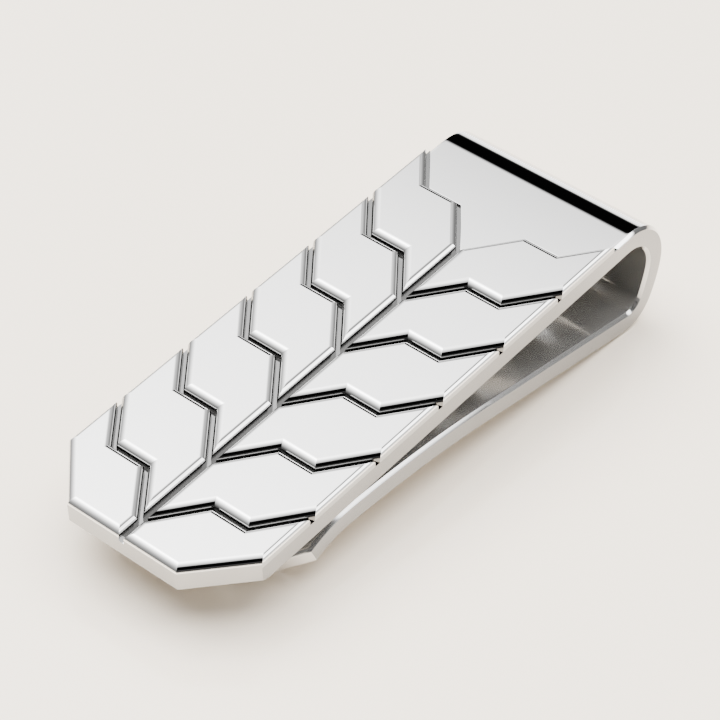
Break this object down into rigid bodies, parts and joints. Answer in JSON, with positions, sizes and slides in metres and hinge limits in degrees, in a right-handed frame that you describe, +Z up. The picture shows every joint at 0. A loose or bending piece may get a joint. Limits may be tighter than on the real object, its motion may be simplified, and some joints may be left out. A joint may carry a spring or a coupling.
{
  "type": "money clip",
  "caption": "Sprung metal money clip: a strip bent back in a teardrop, with two columns of raised angular plates on its front blade and a flared spring tongue beneath.",
  "frame": {"origin": "centre of the bounding box in X and Y, on the surface the clip lies on", "axes": "+X along the clip from the tip to the bend, +Y across the strip to the plates named left, +Z up from the surface it lies on; the blade slopes up towards the bend by 6.09 degrees"},
  "size_m": [0.051, 0.018, 0.0104],
  "materials": {
    "polished_silver": "mirror-polished silver-coloured metal"
  },
  "bodies": {
    "spring": {"spring_tongue": "polished_silver", "bend_lower": "polished_silver"},
    "clip_face": {"front_blade": "polished_silver", "bend_upper": "polished_silver", "plate_left_1": "polished_silver", "plate_left_2": "polished_silver", "plate_left_3": "polished_silver", "plate_left_4": "polished_silver", "plate_left_5": "polished_silver", "plate_left_6": "polished_silver", "plate_right_1": "polished_silver", "plate_right_2": "polished_silver", "plate_right_3": "polished_silver", "plate_right_4": "polished_silver", "plate_right_5": "polished_silver", "plate_right_6": "polished_silver"}
  },
  "joints": [
    {"name": "bend_flex", "type": "hinge", "parent": "spring", "child": "clip_face", "pos_m": [0.02448, 0, 0.00583], "axis": [0, 1, 0], "range_deg": [0, 7], "stiffness_Nm_per_rad": 1.2, "springref_deg": -2.86}
  ]
}
